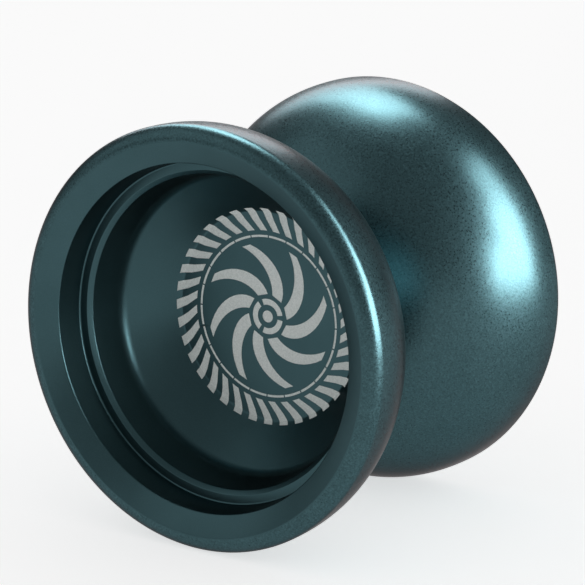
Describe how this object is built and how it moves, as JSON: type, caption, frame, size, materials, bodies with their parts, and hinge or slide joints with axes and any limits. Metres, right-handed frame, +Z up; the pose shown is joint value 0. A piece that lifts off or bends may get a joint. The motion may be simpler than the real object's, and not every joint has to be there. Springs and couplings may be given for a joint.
{
  "type": "yo-yo",
  "caption": "Wide butterfly yo-yo with deep-cupped anodised metal halves that screw together on an axle either side of a shielded ball bearing.",
  "frame": {"origin": "middle of the yo-yo: on the spin axis, halfway between the two halves", "axes": "+Y along the spin axis from the front half to the rear half; +Z up with the yo-yo standing on its two rims; +X to the right seen from the front"},
  "size_m": [0.055, 0.045, 0.055],
  "materials": {
    "anodised_aluminium": "dark teal anodised, fine bead-blasted satin",
    "dark_steel": "black-oxide steel stud",
    "bearing_steel": "ground bearing steel",
    "cage_steel": "pressed steel strip",
    "ball_steel": "polished bearing balls",
    "shield_steel": "thin stamped stainless steel",
    "spring_steel": "spring wire",
    "silicone": "matt translucent white silicone"
  },
  "bodies": {
    "front_side": {"front_half": "anodised_aluminium", "front_response_pad": "silicone", "axle": "dark_steel", "bearing_inner_ring": "bearing_steel"},
    "rear_carrier": {"rear_response_pad": "silicone"},
    "rear_side": {"rear_half": "anodised_aluminium"},
    "string_race": {"bearing_outer_ring": "bearing_steel", "front_shield": "shield_steel", "rear_shield": "shield_steel", "front_snap_ring": "spring_steel", "rear_snap_ring": "spring_steel"},
    "cage": {"ball_cage": "cage_steel"},
    "ball_01": {"ball_01": "ball_steel"},
    "ball_02": {"ball_02": "ball_steel"},
    "ball_03": {"ball_03": "ball_steel"},
    "ball_04": {"ball_04": "ball_steel"},
    "ball_05": {"ball_05": "ball_steel"},
    "ball_06": {"ball_06": "ball_steel"},
    "ball_07": {"ball_07": "ball_steel"},
    "ball_08": {"ball_08": "ball_steel"},
    "ball_09": {"ball_09": "ball_steel"},
    "ball_10": {"ball_10": "ball_steel"}
  },
  "joints": [
    {"name": "rear_half_travel", "type": "slide", "parent": "front_side", "child": "rear_carrier", "axis": [0, 1, 0], "range_m": [0, 0.0049]},
    {"name": "rear_half_unscrew", "type": "hinge", "parent": "rear_carrier", "child": "rear_side", "pos_m": [0, 0, 0], "axis": [0, 1, 0], "range_deg": [0, 2520]},
    {"name": "bearing_spin", "type": "hinge", "parent": "front_side", "child": "string_race", "pos_m": [0, 0, 0], "axis": [0, 1, 0], "continuous": true},
    {"name": "cage_orbit", "type": "hinge", "parent": "front_side", "child": "cage", "pos_m": [0, 0, 0], "axis": [0, 1, 0], "continuous": true},
    {"name": "ball_01_spin", "type": "hinge", "parent": "cage", "child": "ball_01", "pos_m": [0.00476, 0, 0], "axis": [0, 1, 0], "continuous": true},
    {"name": "ball_02_spin", "type": "hinge", "parent": "cage", "child": "ball_02", "pos_m": [0.00385, 0, -0.0028], "axis": [0, 1, 0], "continuous": true},
    {"name": "ball_03_spin", "type": "hinge", "parent": "cage", "child": "ball_03", "pos_m": [0.00147, 0, -0.00453], "axis": [0, 1, 0], "continuous": true},
    {"name": "ball_04_spin", "type": "hinge", "parent": "cage", "child": "ball_04", "pos_m": [-0.00147, 0, -0.00453], "axis": [0, 1, 0], "continuous": true},
    {"name": "ball_05_spin", "type": "hinge", "parent": "cage", "child": "ball_05", "pos_m": [-0.00385, 0, -0.0028], "axis": [0, 1, 0], "continuous": true},
    {"name": "ball_06_spin", "type": "hinge", "parent": "cage", "child": "ball_06", "pos_m": [-0.00476, 0, 0], "axis": [0, 1, 0], "continuous": true},
    {"name": "ball_07_spin", "type": "hinge", "parent": "cage", "child": "ball_07", "pos_m": [-0.00385, 0, 0.0028], "axis": [0, 1, 0], "continuous": true},
    {"name": "ball_08_spin", "type": "hinge", "parent": "cage", "child": "ball_08", "pos_m": [-0.00147, 0, 0.00453], "axis": [0, 1, 0], "continuous": true},
    {"name": "ball_09_spin", "type": "hinge", "parent": "cage", "child": "ball_09", "pos_m": [0.00147, 0, 0.00453], "axis": [0, 1, 0], "continuous": true},
    {"name": "ball_10_spin", "type": "hinge", "parent": "cage", "child": "ball_10", "pos_m": [0.00385, 0, 0.0028], "axis": [0, 1, 0], "continuous": true}
  ],
  "couplings": [
    {"joint": "rear_half_unscrew", "follows": "rear_half_travel", "rad_per_m": 8976},
    {"joint": "cage_orbit", "follows": "bearing_spin", "ratio": 0.58336},
    {"joint": "ball_01_spin", "follows": "bearing_spin", "ratio": 2.9157},
    {"joint": "ball_02_spin", "follows": "bearing_spin", "ratio": 2.9157},
    {"joint": "ball_03_spin", "follows": "bearing_spin", "ratio": 2.9157},
    {"joint": "ball_04_spin", "follows": "bearing_spin", "ratio": 2.9157},
    {"joint": "ball_05_spin", "follows": "bearing_spin", "ratio": 2.9157},
    {"joint": "ball_06_spin", "follows": "bearing_spin", "ratio": 2.9157},
    {"joint": "ball_07_spin", "follows": "bearing_spin", "ratio": 2.9157},
    {"joint": "ball_08_spin", "follows": "bearing_spin", "ratio": 2.9157},
    {"joint": "ball_09_spin", "follows": "bearing_spin", "ratio": 2.9157},
    {"joint": "ball_10_spin", "follows": "bearing_spin", "ratio": 2.9157}
  ]
}
